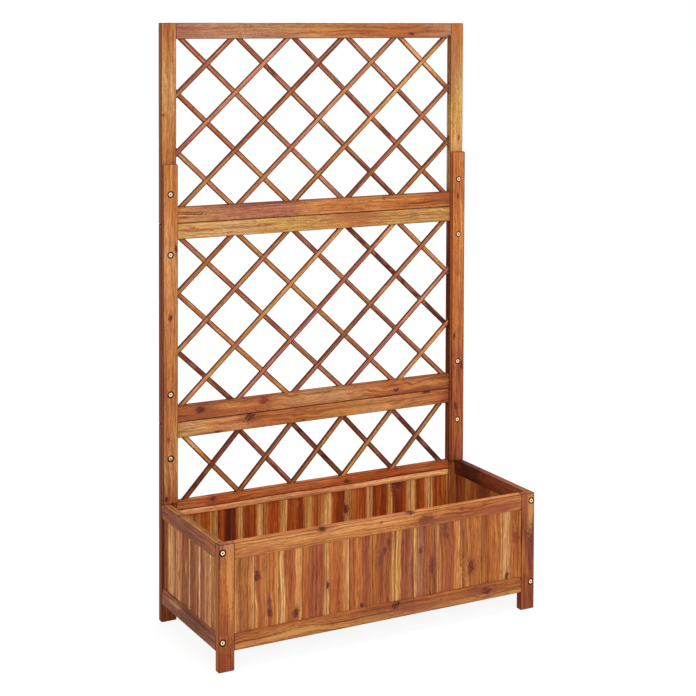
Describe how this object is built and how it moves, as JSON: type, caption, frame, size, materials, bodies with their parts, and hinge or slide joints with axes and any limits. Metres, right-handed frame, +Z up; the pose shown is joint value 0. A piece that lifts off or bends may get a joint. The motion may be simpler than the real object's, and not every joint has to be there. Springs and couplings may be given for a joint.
{
  "type": "trellis planter",
  "caption": "Wooden planter box on feet with slatted walls, and a flat back of framed diagonal lattice for climbing plants, stiffened by screwed battens.",
  "frame": {"origin": "on the floor, under the middle of the overall box", "axes": "+Z up, -Y towards the front of the box, +X to the right seen from the front; the lattice back is at +Y"},
  "size_m": [0.88, 0.375, 1.5],
  "materials": {
    "wood_orange": "oiled hardwood",
    "wood_tan": "oiled hardwood",
    "wood_red": "oiled hardwood",
    "wood_brown": "oiled hardwood",
    "wood_pink": "oiled hardwood",
    "brass": "satin"
  },
  "bodies": {
    "root": {"front_left_leg": "wood_orange", "front_right_leg": "wood_orange", "rear_left_leg": "wood_orange", "rear_right_leg": "wood_orange", "middle_left_stile": "wood_orange", "middle_right_stile": "wood_orange", "upper_left_stile": "wood_orange", "upper_right_stile": "wood_orange", "left_batten": "wood_orange", "right_batten": "wood_orange", "front_bottom_rail": "wood_orange", "front_slats": "wood_orange", "middle_panel_top_rail": "wood_orange", "upper_panel_top_rail": "wood_orange", "front_cleat": "wood_orange", "rear_cleat": "wood_orange", "front_top_rail": "wood_tan", "lower_panel_top_rail": "wood_tan", "middle_panel_bottom_rail": "wood_tan", "upper_panel_bottom_rail": "wood_tan", "left_slats": "wood_tan", "right_slats": "wood_tan", "floor_board_1": "wood_tan", "floor_board_2": "wood_tan", "floor_board_3": "wood_tan", "floor_board_4": "wood_tan", "floor_board_5": "wood_tan", "floor_board_6": "wood_tan", "floor_board_7": "wood_tan", "floor_board_8": "wood_tan", "rear_bottom_rail": "wood_red", "waist_rail": "wood_red", "rear_slats": "wood_red", "left_top_rail": "wood_brown", "left_bottom_rail": "wood_brown", "right_top_rail": "wood_brown", "right_bottom_rail": "wood_brown", "lower_lattice": "wood_pink", "middle_lattice": "wood_pink", "upper_lattice": "wood_pink", "batten_screw_left_1": "brass", "batten_screw_left_2": "brass", "batten_screw_left_3": "brass", "batten_screw_left_4": "brass", "batten_screw_right_1": "brass", "batten_screw_right_2": "brass", "batten_screw_right_3": "brass", "batten_screw_right_4": "brass", "front_left_bolt_low": "brass", "front_left_bolt_high": "brass", "front_right_bolt_low": "brass", "front_right_bolt_high": "brass", "rear_left_bolt_low": "brass", "rear_left_bolt_high": "brass", "rear_right_bolt_low": "brass", "rear_right_bolt_high": "brass"}
  },
  "joints": []
}
